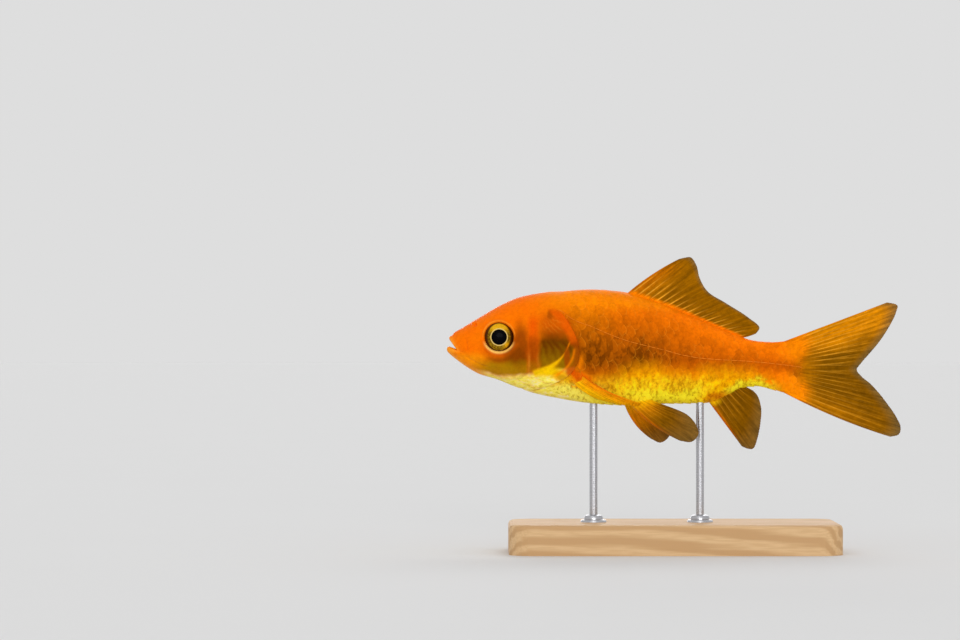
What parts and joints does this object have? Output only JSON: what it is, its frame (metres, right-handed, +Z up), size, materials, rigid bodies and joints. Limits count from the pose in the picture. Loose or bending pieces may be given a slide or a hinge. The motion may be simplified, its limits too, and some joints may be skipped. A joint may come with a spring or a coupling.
{
  "type": "goldfish",
  "caption": "Life-size still model of a young goldfish swimming level with its fins spread, held over a flat wooden base by plain steel rods.",
  "frame": {"origin": "middle of the overall box's footprint, on the underside of the stand base", "axes": "+X from the head towards the tail, +Y towards the fish's right side, +Z up"},
  "size_m": [0.0905, 0.032, 0.0589],
  "materials": {
    "skin": "wet orange fish skin and scales, golden yellow below",
    "fin": "thin olive-orange fin web with paler rays, slightly see-through",
    "eye": "wet clear eye with a black pupil and a gold iris",
    "stand_wood": "satin maple",
    "stand_steel": "brushed"
  },
  "bodies": {
    "root": {"head": "skin", "jaw_upper": "skin", "jaw_lower": "skin", "gill_cover_left": "skin", "gill_cover_right": "skin", "trunk": "skin", "tail_stem": "skin", "eye_left": "eye", "eye_right": "eye", "fin_dorsal": "fin", "fin_anal": "fin", "fin_tail": "fin", "fin_pectoral_left": "fin", "fin_pectoral_right": "fin", "fin_pelvic_left": "fin", "fin_pelvic_right": "fin", "stand_base": "stand_wood", "stand_rod_front": "stand_steel", "stand_rod_rear": "stand_steel"}
  },
  "joints": []
}
